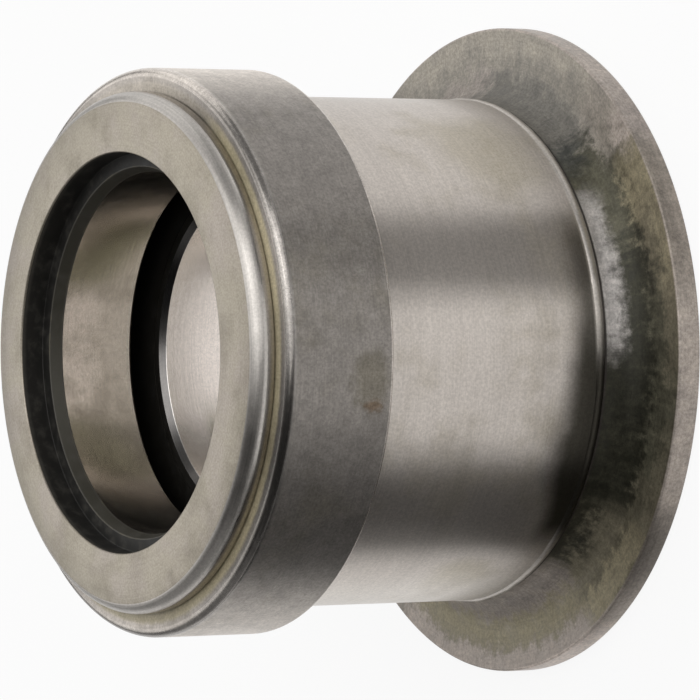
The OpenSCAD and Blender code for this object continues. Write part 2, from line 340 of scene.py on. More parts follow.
def feed(socket, value):
    """Links a socket, or sets it where the value is a plain number or colour."""
    if isinstance(value, bpy.types.NodeSocket):
        socket.id_data.links.new(value, socket)
    elif socket.type == "RGBA":
        socket.default_value = (*value, 1.0)
    else:
        socket.default_value = value


def add_node(kind, sockets, **settings):
    """A node in the tree that its linked values come from, fed by the names or numbers of its sockets."""
    tree = next(v.id_data for v in sockets.values() if isinstance(v, bpy.types.NodeSocket))
    node = tree.nodes.new("ShaderNode" + kind)
    for name, setting in settings.items():
        setattr(node, name, setting)
    for socket, value in sockets.items():
        feed(node.inputs[socket], value)
    return node


def calc(operation, a, b=0.0):
    """One Math node."""
    return add_node("Math", {0: a, 1: b}, operation=operation).outputs[0]


def plus(a, b):
    return calc("ADD", a, b)


def minus(a, b):
    return calc("SUBTRACT", a, b)


def over(a, b):
    return calc("DIVIDE", a, b)


def larger(a, b):
    return calc("MAXIMUM", a, b)


def times(product, *others):
    """Product of several values."""
    for other in others:
        product = calc("MULTIPLY", product, other)
    return product


def lift(share, by, start=1.0):
    """A value raised by a share, or lowered by it where by is negative."""
    return plus(start, times(share, by))


def swing(pattern, far):
    """A noise pattern made to swing to both sides of nought."""
    return times(minus(pattern, NOISE_MIDDLE), far)


def ramp(value, low, high, to_low=0.0, to_high=1.0):
    """Smooth step of a value from one range to another."""
    sockets = {"Value": value, "From Min": low, "From Max": high, "To Min": to_low, "To Max": to_high}
    return add_node("MapRange", sockets, interpolation_type="SMOOTHSTEP").outputs["Result"]


def vary(pattern, low, high):
    """A noise pattern turned into a value between two ends."""
    return ramp(pattern, *NOISE_SPAN, low, high)


def blend(share, a, b):
    """Mixes two colours by a share."""
    return add_node("Mix", {"Factor": share, 6: a, 7: b}, data_type="RGBA").outputs[2]


def scaled(tone, shade):
    """A colour made lighter or darker by a value."""
    return add_node("VectorMath", {0: tone, "Scale": shade}, operation="SCALE").outputs[0]


class Round:
    """Radius, angle and height about the axis, read from Object coordinates.

    Angles are in degrees from the near side, -Y, and grow towards +X.
    """

    def __init__(self, tree):
        self.vector = tree.nodes.new("ShaderNodeTexCoord").outputs["Object"]
        self.x, self.y, self.z = add_node("SeparateXYZ", {0: self.vector}).outputs
        self.angle = times(calc("ARCTAN2", self.x, times(self.y, -1.0)), math.degrees(1))
        self.r = calc("SQRT", plus(times(self.x, self.x), times(self.y, self.y)))
        self.cos = over(self.x, self.r)
        self.sin = over(self.y, self.r)

    def _noise_round(self, size, count, detail):
        """Noise of one size over the section, with a count over the way round, where it closes."""
        sockets = {0: over(self.r, size), 1: over(self.z, size), 2: times(self.cos, count)}
        where = add_node("CombineXYZ", sockets).outputs[0]
        sockets = {"Vector": where, "W": times(self.sin, count), "Scale": 1.0, "Detail": detail}
        return add_node("TexNoise", sockets, noise_dimensions="4D").outputs["Fac"]

    def grain(self, pitch, drift):
        """Fine lines round the axis: pitch is their width, drift how often they change in a radian."""
        return self._noise_round(pitch, drift, GRAIN_DETAIL)

    def streaks(self, count, reach, detail=4.0):
        """Streaks that run outwards: count is how many lie in a radian, reach how long one is."""
        return self._noise_round(reach, count, detail)

    def cloud(self, size, detail=4.0, roughness=0.55, offset=(0, 0, 0)):
        """Soft patches of about one size."""
        where = add_node("Mapping", {"Vector": self.vector, "Location": offset}).outputs[0]
        sockets = {"Vector": where, "Scale": 1.0 / size, "Detail": detail, "Roughness": roughness}
        return add_node("TexNoise", sockets).outputs["Fac"]

    def between(self, start, end, soft, wander=None, far=0.0):
        """A sector with soft ends. One inside, nought outside. A noise may make its ends wander."""
        angle = self.angle if wander is None else plus(self.angle, swing(wander, far))
        rise = ramp(angle, start - soft, start + soft)
        return times(rise, ramp(angle, end - soft, end + soft, 1.0, 0.0))

    def spot(self, angle, height, half_width, half_height, edge, ragged):
        """A patch on the side of a piece, whose edge a noise makes ragged. One inside, nought outside."""
        a = over(times(minus(self.angle, angle), math.radians(1), self.r), half_width)
        b = over(minus(self.z, height), half_height)
        away = calc("SQRT", plus(times(a, a), times(b, b)))
        return ramp(plus(away, swing(edge, ragged)), SPOT_CORE, 1.0, 1.0, 0.0)


def empty_finish(name):
    """A node material with nothing but its output."""
    finish = bpy.data.materials.new(name)
    finish.use_nodes = True
    nodes = finish.node_tree.nodes
    nodes.clear()
    return finish, nodes.new("ShaderNodeOutputMaterial").inputs["Surface"]


def new_finish(name):
    """A node material with a Principled surface, and the places on the piece that wears it."""
    finish, shown = empty_finish(name)
    surface = finish.node_tree.nodes.new("ShaderNodeBsdfPrincipled")
    feed(shown, surface.outputs["BSDF"])
    return finish, surface, Round(finish.node_tree)


def dress(surface, tone, metallic, roughness):
    """Sets the colour, the metal and the roughness of a surface."""
    feed(surface.inputs["Base Color"], tone)
    feed(surface.inputs["Metallic"], metallic)
    feed(surface.inputs["Roughness"], roughness)


def bump(surface, height, distance):
    """Fine relief on a surface."""
    node = add_node("Bump", {"Strength": 1.0, "Distance": distance, "Height": height})
    feed(surface.inputs["Normal"], node.outputs["Normal"])


def lay_of_turning(surface, amount):
    """Highlights stretched across the turning lines."""
    tangent = surface.id_data.nodes.new("ShaderNodeTangent")
    tangent.direction_type = "RADIAL"
    tangent.axis = "Z"
    feed(surface.inputs["Tangent"], tangent.outputs[0])
    feed(surface.inputs["Anisotropic"], amount)
    feed(surface.inputs["Anisotropic Rotation"], QUARTER_TURN)


# Finishes

# Sectors of the finishes: the angles each runs between, and how far its ends take to fade, in degrees
# Bounds of the painted reflection on the cap's sides
CAP_OUTSIDE = (-118, 118, 14)
# A painted band of light and a painted band of shade round the cap
CAP_PAINTED_LIGHT = (10, 33, 6)
CAP_PAINTED_SHADE = (-29, -14, 6)
CAP_DRY_FRONT = (57, 118, 9)
# Painted reflection and painted shade on the cap's shoulder
SHOULDER_PAINTED_REFLECTION = (60, 118, 14)
SHOULDER_PAINTED_SHADE = (-48, -8, 6)
# Painted reflection on one side of the sleeve, heat tint with painted reflection of the flange, painted
# highlight on the bead
SLEEVE_PAINTED_REFLECTION = (-118, -64, 8)
SLEEVE_TINT_AND_PAINTED_REFLECTION = (-47, 29, 5)
BEAD_PAINTED_HIGHLIGHT = (4, 118, 10)
FLANGE_BLOTCHED = (52, 130, 10)
# Painted light and painted shade round the flange's rim
RIM_PAINTED_LIGHT = (-84, -57, 4)
RIM_PAINTED_SHADE = (9, 51, 5)
RIM_PAINTED_DEEP_SHADE = (-47, -29, 7)
# Painted highlight on the hub
HUB_PAINTED_HIGHLIGHT = (0, 36, 5)
# Painted shade on two sides of the front bush
BUSH_PAINTED_SHADE_LEFT = (-154, -66, 12)
BUSH_PAINTED_SHADE_RIGHT = (62, 144, 12)
# Painted shade on the upper side of the sleeve's bore
BORE_PAINTED_SHADE = (72, 150, 14)
# Spots: angle in degrees, height and half sizes
CAP_STAIN = (-5.7, 56.6 * MM, 6.5 * MM, 5.0 * MM)
RUST_SMEAR = (-10.6, 56.0 * MM, 1.3 * MM, 2.2 * MM)
SLEEVE_FILM_RIGHT = (52, 23 * MM, 14 * MM, 14 * MM)
SLEEVE_FILM_LEFT = (-63, 24 * MM, 8 * MM, 9 * MM)
# A spot is even up to this share of its half sizes, and fades from there
SPOT_CORE = 0.35
# Heat tints on the flange: colour, the angles it runs between, the radii it lies between in millimetres
# and its strength. Edges fade over TINT_SOFT millimetres outwards and over TINT_FADE degrees round, where
# they wander by up to half of TINT_WANDER degrees
TINT_SOFT = 1.4
TINT_FADE = 3.5
TINT_WANDER = 24.0
FLANGE_TINTS = [
    ("flange_brown", 116, 182, 38, 60, 0.8),
    ("flange_brown", -182, -116, 38, 60, 0.8),
    ("flange_grey", 50, 122, 38, 60, 0.9),
    ("flange_beige", 53, 122, 45.8, 60, 0.5),
    ("flange_beige", 53, 122, 49.2, 60, 0.75),
    ("flange_pale", 90, 110, 38, 46, 0.5),
    ("flange_brown", 41, 57, 45, 60, 0.85),
    ("flange_pale", 38, 47, 49.5, 60, 0.85),
    ("flange_dim", 24, 46, 38, 45, 0.8),
    ("flange_blue", 44, 52, 38, 42.5, 0.5),
    ("flange_black", 40, 54, 30, 42.5, 0.5),
    ("flange_khaki", 24, 39, 46, 60, 0.85),
    ("flange_dim", -36, 8, 47, 60, 0.6),
    ("flange_olive", 15, 28, 47, 60, 0.8),
    ("flange_khaki", 9, 26, 50.5, 60, 0.6),
    ("flange_olive", -6, 14, 49.5, 60, 0.65),
    ("flange_olive", -37, -14, 50, 60, 0.5),
    ("flange_olive", -38, -24, 46, 60, 0.5),
    ("flange_black", -36, 22, 30, 46, 0.8),
    ("flange_khaki", -58, -35, 47.5, 60, 0.85),
    ("flange_olive", -58, -35, 38, 47.5, 0.75),
    ("flange_black", -56, -30, 30, 42.4, 0.85),
    ("flange_black", -56, -33, 53.0, 60, 0.8),
    ("flange_pale", -122, -58, 49.5, 60, 0.75),
    ("flange_khaki", -122, -58, 43.5, 49.5, 0.7),
    ("flange_pale", -122, -57, 38, 44.5, 0.7),
    ("flange_beige", -160, -130, 46, 60, 0.7),
    ("flange_grey", 130, 155, 38, 60, 0.7),
]


def ground_contact_face():
    """Fine ground steel with a film of oil and rosy patches."""
    c = colours()
    finish, surface, at = new_finish("ground_contact_face")
    film = ramp(at.cloud(7 * MM, 6.0, 0.65), 0.42, 0.72, 0.0, 0.45)
    rosy = ramp(at.cloud(11 * MM, 5.0, 0.6, offset=(0.13, 0.4, 0.0)), 0.42, 0.65, 0.0, 0.8)
    lines = at.grain(0.10 * MM, 2.5)
    speckle = at.cloud(0.35 * MM, 3.0, 0.7)
    tone = blend(rosy, c.contact_face, c.contact_rose)
    tone = blend(film, tone, c.contact_stain)
    shade = times(vary(lines, 0.94, 1.05), vary(speckle, 0.86, 1.12))
    dress(surface, scaled(tone, shade), 0.85, ramp(film, 0.0, 0.45, 0.43, 0.52))
    bump(surface, lines, 0.006 * MM)
    lay_of_turning(surface, 0.2)
    return finish


def burnished_nose_edge():
    """Rubbed steel, smoother on the side of the nose than on its round edge."""
    c = colours()
    finish, surface, at = new_finish("burnished_nose_edge")
    lines = at.grain(0.16 * MM, 2.0)
    speckle = at.cloud(0.4 * MM, 3.0, 0.7)
    patch = at.cloud(5 * MM, 5.0, 0.6)
    shade = times(vary(lines, 0.9, 1.08), vary(speckle, 0.88, 1.1))
    nose_z = CONTACT_Z - sizes().contact_t
    above_side = ramp(at.z, nose_z + 1.0 * MM, nose_z + 2.2 * MM, 0.5, 1.0)
    dress(surface, scaled(c.nose_edge, shade), 1.0, times(vary(patch, 0.34, 0.42), above_side))
    bump(surface, lines, 0.003 * MM)
    lay_of_turning(surface, 0.3)
    return finish


def honed_bore(name, oil=0.0):
    """Honed steel. Oil is how far painted shade darkens its upper side."""
    c = colours()
    finish, surface, at = new_finish(name)
    lines = at.grain(0.14 * MM, 3.0)
    speckle = at.cloud(0.4 * MM, 3.0, 0.7)
    film = ramp(at.cloud(6 * MM, 5.0, 0.6), 0.45, 0.7, 0.0, 0.35)
    tone = blend(film, c.bore_grey, c.contact_stain)
    shade = times(vary(lines, 0.93, 1.06), vary(speckle, 0.9, 1.08))
    if oil:
        # Painted shade on the upper side
        shade = times(shade, ramp(at.between(*BORE_PAINTED_SHADE), 0.0, 1.0, 1.0, 1.0 - oil))
    dress(surface, scaled(tone, shade), 1.0, ramp(film, 0.0, 0.35, 0.18, 0.24))
    bump(surface, lines, 0.004 * MM)
    return finish


def hardening_scale(name, tone, light, roughness, worn_z=None):
    """Dark scale, or the near-black of a recess, with lighter patches, and worn all round above a height
    where one is given.
    """
    finish, surface, at = new_finish(name)
    patch = at.cloud(2.2 * MM, 5.0, 0.6)
    worn = ramp(patch, 0.45, 0.75, 0.0, 0.6)
    if worn_z is not None:
        height = plus(at.z, swing(patch, 1.2 * MM))
        rise = ramp(height, worn_z - 0.5 * MM, worn_z + 0.5 * MM, 0.0, 0.9)
        worn = larger(worn, rise)
    dress(surface, blend(worn, tone, light), 0.4, vary(patch, roughness, roughness + 0.15))
    bump(surface, patch, 0.03 * MM)
    return finish


def drawn_cap_grey():
    """Satin drawn sheet: burnished edges, oil beside the nose, a stain, a rust smear; painted reflection on
    the sides and shoulder, a painted highlight on the rear edge, painted light and shade in bands.
    """
    c = colours()
    finish, surface, at = new_finish("drawn_cap_grey")
    lines = at.grain(0.12 * MM, 4.0)
    speckle = at.cloud(0.45 * MM, 4.0, 0.75)
    mottle = at.cloud(2.5 * MM, 6.0, 0.68)
    film = ramp(at.cloud(16 * MM, 5.0, 0.6, offset=(0.31, 0.0, 0.07)), 0.5, 0.75, 0.0, 0.4)
    tone = blend(film, c.cap_grey, c.cap_olive)
    # Painted reflection, paler and warmer, on the two sides of the cap
    side = larger(ramp(at.angle, 52, 86), ramp(at.angle, -42, -98))
    side = times(side, at.between(*CAP_OUTSIDE))
    front = ramp(at.z, CAP_FRONT_Z - 0.25 * MM, CAP_FRONT_Z - 0.05 * MM)
    tone = blend(times(side, ramp(front, 0.0, 1.0, 0.9, 0.35)), tone, c.cap_painted_reflection)
    tone = blend(times(at.spot(*CAP_STAIN, mottle, 1.2), 0.5), tone, c.cap_olive)
    tone = blend(times(at.spot(*RUST_SMEAR, mottle, 2.4), 0.55), tone, c.rust)
    rounded = ramp(at.r, CAP_R - 1.5 * MM, CAP_R - 1.3 * MM)
    shoulder = ramp(at.z, CAP_FRONT_Z - 1.7 * MM, CAP_FRONT_Z - 1.0 * MM)
    rear = ramp(at.z, CAP_REAR_Z + 0.35 * MM, CAP_REAR_Z + 0.6 * MM, 1.0, 0.0)
    burnished = times(rounded, larger(shoulder, rear))
    # The shoulder: painted shade on one side, painted reflection towards the two sides
    edge = scaled(c.cap_edge, lift(at.between(*SHOULDER_PAINTED_SHADE), -0.5))
    edge = blend(times(at.between(*SHOULDER_PAINTED_REFLECTION), 0.7), edge, c.cap_painted_reflection)
    tone = blend(times(burnished, ramp(front, 0.0, 1.0, 1.0, 0.3)), tone, edge)
    # A painted highlight along the rear edge
    tone = blend(times(rounded, rear, 0.45), tone, c.cap_painted_reflection)
    sheltered = plus(at.r, swing(mottle, 1.0 * MM))
    sheltered = ramp(sheltered, CONTACT_R + 1.0 * MM, CONTACT_R + 2.0 * MM, 0.9, 0.0)
    oiled = times(front, sheltered, ramp(at.between(*CAP_DRY_FRONT), 0.0, 1.0, 1.0, 0.2))
    tone = blend(oiled, tone, c.cap_front)
    # A painted band of light and a painted band of shade round the cap
    painted_light_and_shade = lift(at.between(*CAP_PAINTED_SHADE), -0.3, lift(at.between(*CAP_PAINTED_LIGHT), 0.4))
    shade = times(painted_light_and_shade, vary(lines, 0.93, 1.06), vary(mottle, 0.88, 1.12), vary(speckle, 0.80, 1.18))
    roughness = lift(burnished, -0.2, ramp(film, 0.0, 0.4, 0.44, 0.52))
    dress(surface, scaled(tone, shade), ramp(oiled, 0.0, 0.9, 0.85, 0.1), roughness)
    bump(surface, plus(lines, speckle), 0.006 * MM)
    lay_of_turning(surface, 0.5)
    return finish


def bright_turned_sleeve():
    """Bright turned steel with olive films, a painted reflection on one side, and at the weld a heat tint
    with painted reflection of the flange and a painted highlight on the bead.
    """
    c = colours()
    finish, surface, at = new_finish("bright_turned_sleeve")
    lines = at.grain(0.11 * MM, 3.0)
    broad = at.grain(2.4 * MM, 1.0)
    speckle = at.cloud(0.45 * MM, 3.0, 0.7)
    wander = at.streaks(5.0, 9 * MM)
    film = ramp(at.cloud(13 * MM, 6.0, 0.62, offset=(0.0, 0.2, 0.4)), 0.48, 0.75, 0.0, 0.45)
    patch = larger(at.spot(*SLEEVE_FILM_RIGHT, wander, 0.8), at.spot(*SLEEVE_FILM_LEFT, wander, 0.8))
    tone = blend(film, c.sleeve_bright, c.sleeve_olive)
    tone = blend(times(patch, 0.6), tone, c.sleeve_olive)
    # Painted reflection on one side of the sleeve
    tone = blend(times(at.between(*SLEEVE_PAINTED_REFLECTION), 0.8), tone, c.sleeve_painted_reflection_and_highlight)
    # Heat tint beside the weld, grown into a wedge that paints the dark flange's reflection
    reach = ramp(at.angle, -22, 14, 9.8 * MM, 6.2 * MM)
    reach = times(reach, ramp(at.angle, -42, -24, 0.65, 1.0))
    above = minus(at.z, WELD_Z)
    height = plus(over(above, reach), swing(wander, 0.5))
    # A painted highlight on the bead
    bead = times(ramp(above, 1.6 * MM, 2.2 * MM, 1.0, 0.0), at.between(*BEAD_PAINTED_HIGHLIGHT))
    tint_and_painted_reflection = times(
        ramp(height, 0.45, 1.2, 1.0, 0.0), at.between(*SLEEVE_TINT_AND_PAINTED_REFLECTION), ramp(at.angle, -4, 14, 0.95, 0.7),
        lift(bead, -0.8),
    )
    tone = blend(tint_and_painted_reflection, tone, c.sleeve_tint_and_painted_reflection)
    tone = blend(times(bead, 0.6), tone, c.sleeve_painted_reflection_and_highlight)
    # Heat tint with painted reflection of the flange, fading up from the weld
    haze = ramp(above, 3.0 * MM, 14.0 * MM, 0.12, 0.0)
    tone = blend(haze, tone, c.sleeve_tint_and_painted_reflection)
    joint = ramp(above, 0.15 * MM, 0.4 * MM, 0.9, 0.0)
    tone = blend(joint, tone, c.weld_brown)
    shade = times(vary(lines, 0.94, 1.05), vary(broad, 0.97, 1.03), vary(speckle, 0.87, 1.1))
    dress(surface, scaled(tone, shade), 0.9, ramp(film, 0.0, 0.45, 0.36, 0.44))
    bump(surface, lines, 0.006 * MM)
    lay_of_turning(surface, 0.7)
    return finish


def heat_tinted_flange():
    """Turned steel under heat tints with ragged edges, a rim with painted reflection, light and shade, and a
    painted highlight on the hub beside the weld.
    """
    c = colours()
    finish, surface, at = new_finish("heat_tinted_flange")
    lines = at.grain(0.22 * MM, 6.0)
    speckle = at.cloud(0.5 * MM, 4.0, 0.75)
    mottle = at.cloud(2.6 * MM, 6.0, 0.7)
    broad = at.streaks(10.0, 14 * MM, 6.0)
    fine = at.streaks(46.0, 10 * MM, 6.0)
    edge = plus(times(fine, 0.5), times(broad, 0.5))
    edge = plus(times(edge, 0.6), times(mottle, 0.4))
    upper = at.between(*FLANGE_BLOTCHED)
    frayed = plus(swing(fine, 2.0 * MM), swing(mottle, ramp(upper, 0.0, 1.0, 9 * MM, 3 * MM)))
    frayed = plus(frayed, times(swing(at.cloud(6 * MM, 3.0, 0.5), upper), 12 * MM))
    frayed = plus(frayed, at.r)
    tone = blend(ramp(edge, 0.44, 0.66), c.flange_dark, c.flange_dim)
    for name, start, end, inner, outer, share in FLANGE_TINTS:
        rise = ramp(frayed, (inner - TINT_SOFT) * MM, (inner + TINT_SOFT) * MM)
        fall = ramp(frayed, (outer - TINT_SOFT) * MM, (outer + TINT_SOFT) * MM, share, 0.0)
        zone = times(at.between(start, end, TINT_FADE, edge, TINT_WANDER), rise, fall)
        tone = blend(zone, tone, getattr(c, name))
    # A painted reflection on the rim, with painted light and shade in sectors round it
    rim = ramp(at.r, FLANGE_R - 0.5 * MM, FLANGE_R - 0.2 * MM, 0.0, 0.8)
    painted_rim_light = lift(at.between(*RIM_PAINTED_SHADE), -0.3, lift(at.between(*RIM_PAINTED_LIGHT), 0.5))
    painted_rim_light = lift(at.between(*RIM_PAINTED_DEEP_SHADE), -0.6, painted_rim_light)
    tone = blend(rim, tone, scaled(c.flange_pale, painted_rim_light))
    under = ramp(at.z, 0.1 * MM, 0.3 * MM, 1.0, 0.0)
    tone = blend(under, tone, c.flange_grey)
    # A painted highlight on the hub beside the weld
    beside = plus(at.z, swing(mottle, 4 * MM))
    beside = ramp(beside, WELD_Z - 4.2 * MM, WELD_Z - 1.8 * MM, 0.0, 0.85)
    tone = blend(times(beside, at.between(*HUB_PAINTED_HIGHLIGHT, edge, 20.0)), tone, c.flange_painted_highlight)
    joint = ramp(at.z, WELD_Z - 0.45 * MM, WELD_Z - 0.2 * MM, 0.0, 0.95)
    tone = blend(joint, tone, c.weld_brown)
    shade = times(
        vary(lines, 0.92, 1.06), ramp(speckle, 0.28, 0.72, 0.74, 1.24),
        vary(mottle, 0.78, 1.22), vary(fine, 0.95, 1.05),
    )
    dress(surface, scaled(tone, shade), 0.5, vary(mottle, 0.40, 0.58))
    bump(surface, plus(lines, speckle), 0.010 * MM)
    lay_of_turning(surface, 0.4)
    return finish


def bright_bush_lining():
    """Smooth bright lining with painted shade on its chamfered mouths and on two sides of the front bush."""
    c = colours()
    finish, surface, at = new_finish("bright_bush_lining")
    lines = at.grain(0.2 * MM, 1.5)
    speckle = at.cloud(0.4 * MM, 3.0, 0.7)
    shade = times(vary(lines, 0.95, 1.04), vary(speckle, 0.92, 1.06))
    # Painted shade on the chamfered mouths
    mouth = ramp(at.r, sizes().guide_r + 0.01 * MM, sizes().guide_r + 0.06 * MM, 1.0, 0.15)
    # Painted shade on two sides of the front bush
    sides = lift(at.between(*BUSH_PAINTED_SHADE_RIGHT), 0.9, at.between(*BUSH_PAINTED_SHADE_LEFT))
    depth = times(ramp(at.z, 28 * MM, 32 * MM), ramp(at.z, 45 * MM, 48 * MM, 1.0, 0.0))
    tone = blend(times(sides, depth), c.bush_light, c.bush_painted_shade)
    dress(surface, scaled(tone, times(shade, mouth)), 1.0, vary(at.cloud(6 * MM), 0.2, 0.26))
    bump(surface, lines, 0.004 * MM)
    return finish


def plain_finish(name, tone, metallic, low, high, patch, relief):
    """A finish for a hidden piece: one tone that varies a little, and some relief."""
    finish, surface, at = new_finish(name)
    cloud = at.cloud(patch, 5.0, 0.6)
    dress(surface, scaled(tone, vary(cloud, 0.85, 1.12)), metallic, vary(cloud, low, high))
    bump(surface, cloud, relief)
    return finish


# Operators, one for each piece or group of like pieces

class BEARING_OT_contact_ring(bpy.types.Operator):
    """Turns the contact ring, with its nose, neck, ball groove and counterbore"""

    bl_idname = "bearing.contact_ring"
    bl_label = "Contact ring"

    def execute(self, context):
        s = sizes()
        nose_z = CONTACT_Z - s.contact_t
        counterbore_z = CONTACT_Z - s.counterbore_depth
        groove_r = 2 * BALL_R * s.groove_share
        groove_centre = (s.groove_bottom_r + groove_r, BALL_Z)
        rear = 180 + math.degrees(math.acos((groove_centre[0] - s.land_r) / groove_r))
        front = 180 - math.degrees(math.acos((groove_centre[0] - s.neck_r) / groove_r))
        slope = math.degrees(s.crown_angle)
        land_end_r = s.counterbore_r + s.face_land_w
        crown_w = CONTACT_R - s.contact_edge * (1 - math.sin(s.crown_angle)) - land_end_r
        crown_r = crown_w / math.sin(s.crown_angle)
        fall = crown_w * math.tan(s.crown_angle / 2)
        edge_z = CONTACT_Z - fall - s.contact_edge * math.cos(s.crown_angle)
        section = [
            (s.ring_bore_r, TAIL_Z),
            (s.land_r, TAIL_Z),
            *arc(groove_centre, groove_r, rear, front),
            (s.neck_r, nose_z),
            (CONTACT_R, nose_z),
            *arc((CONTACT_R - s.contact_edge, edge_z), s.contact_edge, 0, 90 - slope),
            *arc((land_end_r, CONTACT_Z - crown_r), crown_r, 90 - slope, 90)[1:],
            (s.counterbore_r, CONTACT_Z),
            (s.counterbore_r, counterbore_z),
            (s.ring_bore_r + s.lead_in_w, counterbore_z),
            (s.ring_bore_r, counterbore_z - s.lead_in_l),
        ]
        edges = [
            ((s.ring_bore_r, TAIL_Z), s.tail_edge, 1),
            ((s.land_r, TAIL_Z), s.tail_edge, 1),
            ((CONTACT_R, nose_z), s.contact_rear_edge, 3),
            ((s.counterbore_r, CONTACT_Z), s.mouth_round, 4),
            ((s.counterbore_r, counterbore_z), s.small_edge, 3),
            ((s.ring_bore_r + s.lead_in_w, counterbore_z), s.small_edge, 3),
            ((s.ring_bore_r, counterbore_z - s.lead_in_l), s.small_edge, 3),
        ]
        piece = turn("contact_ring_turned", section, edges)
        c = colours()
        worn_z = CONTACT_Z - 0.8 * MM
        black = hardening_scale("black_scale", c.scale_black, c.scale_worn, 0.5, worn_z)
        grey = hardening_scale("grey_scale", c.scale_grey, c.scale_worn, 0.45)
        worn = hardening_scale("worn_edges", c.scale_worn, c.cap_olive, 0.5)
        finishes = [
            ground_contact_face(), black, grey, honed_bore("honed_ring_bore"), burnished_nose_edge(), worn,
        ]
        black_slot, grey_slot, bore_slot, edge_slot, worn_slot = range(1, len(finishes))
        place(piece, "contact_ring", "turning_ring", finishes)
        near = 0.05 * MM
        edge_slope = math.cos(s.crown_angle + math.radians(4))
        worn_reach = 1.5 * s.small_edge
        worn_loops = [
            (s.ring_bore_r + s.lead_in_w, counterbore_z),
            (s.ring_bore_r, counterbore_z - s.lead_in_l),
        ]
        for face in piece.data.polygons:
            r, z = face.center.xy.length, face.center.z
            if r < s.ring_bore_r + near:
                face.material_index = bore_slot
            elif r < s.ring_bore_r + s.lead_in_w and z > counterbore_z - s.lead_in_l:
                face.material_index = grey_slot
            elif r < s.counterbore_r + near and counterbore_z - near < z < CONTACT_Z - s.mouth_round:
                face.material_index = black_slot
            elif r > CONTACT_R - s.contact_edge and face.normal.z < edge_slope:
                face.material_index = edge_slot
            for loop_r, loop_z in worn_loops:
                if abs(r - loop_r) < worn_reach and abs(z - loop_z) < worn_reach:
                    face.material_index = worn_slot
        return {"FINISHED"}


class BEARING_OT_bearing_cap(bpy.types.Operator):
    """Draws the bearing cap, with its rounded shoulder and rolled lip"""

    bl_idname = "bearing.bearing_cap"
    bl_label = "Bearing cap"

    def execute(self, context):
        s = sizes()
        inner_r = CAP_R - s.cap_wall
        inner_z = CAP_FRONT_Z - s.cap_wall
        lip_z = CAP_REAR_Z + s.cap_lip_t
        section = [
            (s.cap_lip_r, CAP_REAR_Z),
            (CAP_R, CAP_REAR_Z),
            (CAP_R, CAP_FRONT_Z),
            (s.cap_opening_r, CAP_FRONT_Z),
            (s.cap_opening_r, inner_z),
            (inner_r, inner_z),
            (inner_r, lip_z),
            (s.cap_lip_r, lip_z),
        ]
        edges = [
            ((s.cap_lip_r, CAP_REAR_Z), s.small_edge, 3),
            ((CAP_R, CAP_REAR_Z), s.cap_edge, 6),
            ((CAP_R, CAP_FRONT_Z), s.cap_shoulder, ARC_STEPS),
            ((s.cap_opening_r, CAP_FRONT_Z), s.small_edge, 3),
            ((s.cap_opening_r, inner_z), s.small_edge, 3),
        ]
        piece = turn("bearing_cap_drawn", section, edges)
        place(piece, "bearing_cap", "sleeve_unit", [drawn_cap_grey()])
        return {"FINISHED"}


class BEARING_OT_sliding_sleeve(bpy.types.Operator):
    """Turns the sliding sleeve, with its collar and the weld bead at its rear end"""

    bl_idname = "bearing.sliding_sleeve"
    bl_label = "Sliding sleeve"

    def execute(self, context):
        s = sizes()
        collar_z = COLLAR_FRONT_Z - s.collar_t
        recess_z = COLLAR_FRONT_Z - s.recess_depth
        bead_centre = (s.sleeve_r + s.bead_h - s.bead_r, WELD_Z + s.bead_offset)
        bead_low = -math.degrees(math.asin(s.bead_offset / s.bead_r))
        bead_high = math.degrees(math.acos((s.bead_r - s.bead_h) / s.bead_r))
        section = [
            (BUSH_R, WELD_Z),
            *arc(bead_centre, s.bead_r, bead_low, bead_high),
            (s.sleeve_r, collar_z),
            (COLLAR_R, collar_z),
            (COLLAR_R, COLLAR_FRONT_Z),
            (s.recess_r, COLLAR_FRONT_Z),
            (s.recess_r, recess_z),
            (BUSH_R, recess_z),
        ]
        edges = [
            ((COLLAR_R, COLLAR_FRONT_Z), s.small_edge, 3),
            ((s.recess_r, COLLAR_FRONT_Z), s.small_edge, 3),
        ]
        piece = turn("sliding_sleeve_turned", section, edges)
        self.ripple_bead(piece, s)
        # Near-black finish on the floor of the front recess
        oil = hardening_scale("near_black_recess", colours().recess_black, colours().scale_black, 0.35)
        # The sleeve's bore gets painted shade on its upper side
        finishes = [bright_turned_sleeve(), oil, honed_bore("honed_sleeve_bore", oil=0.6)]
        near_black_slot, bore_slot = range(1, len(finishes))
        place(piece, "sliding_sleeve", "sleeve_unit", finishes)
        for face in piece.data.polygons:
            r, z = face.center.xy.length, face.center.z
            if z > recess_z - PLACE_TOLERANCE and r < COLLAR_R - 2 * s.small_edge:
                face.material_index = near_black_slot
            elif r < BUSH_R + PLACE_TOLERANCE:
                face.material_index = bore_slot
        return {"FINISHED"}

    def ripple_bead(self, piece, s):
        """Lets the weld bead wander a little in height, as poured metal does."""
        bead_top = WELD_Z + 2 * s.bead_offset
        for vertex in piece.data.vertices:
            r = vertex.co.xy.length
            if r < s.sleeve_r - s.bead_r or not WELD_Z < vertex.co.z < bead_top:
                continue
            share = math.sin(math.pi * (vertex.co.z - WELD_Z) / (bead_top - WELD_Z))
            wander = noise.noise(vertex.co.xy.to_3d() / s.ripple_l)
            vertex.co.xy *= 1 + share * wander * s.bead_ripple / r


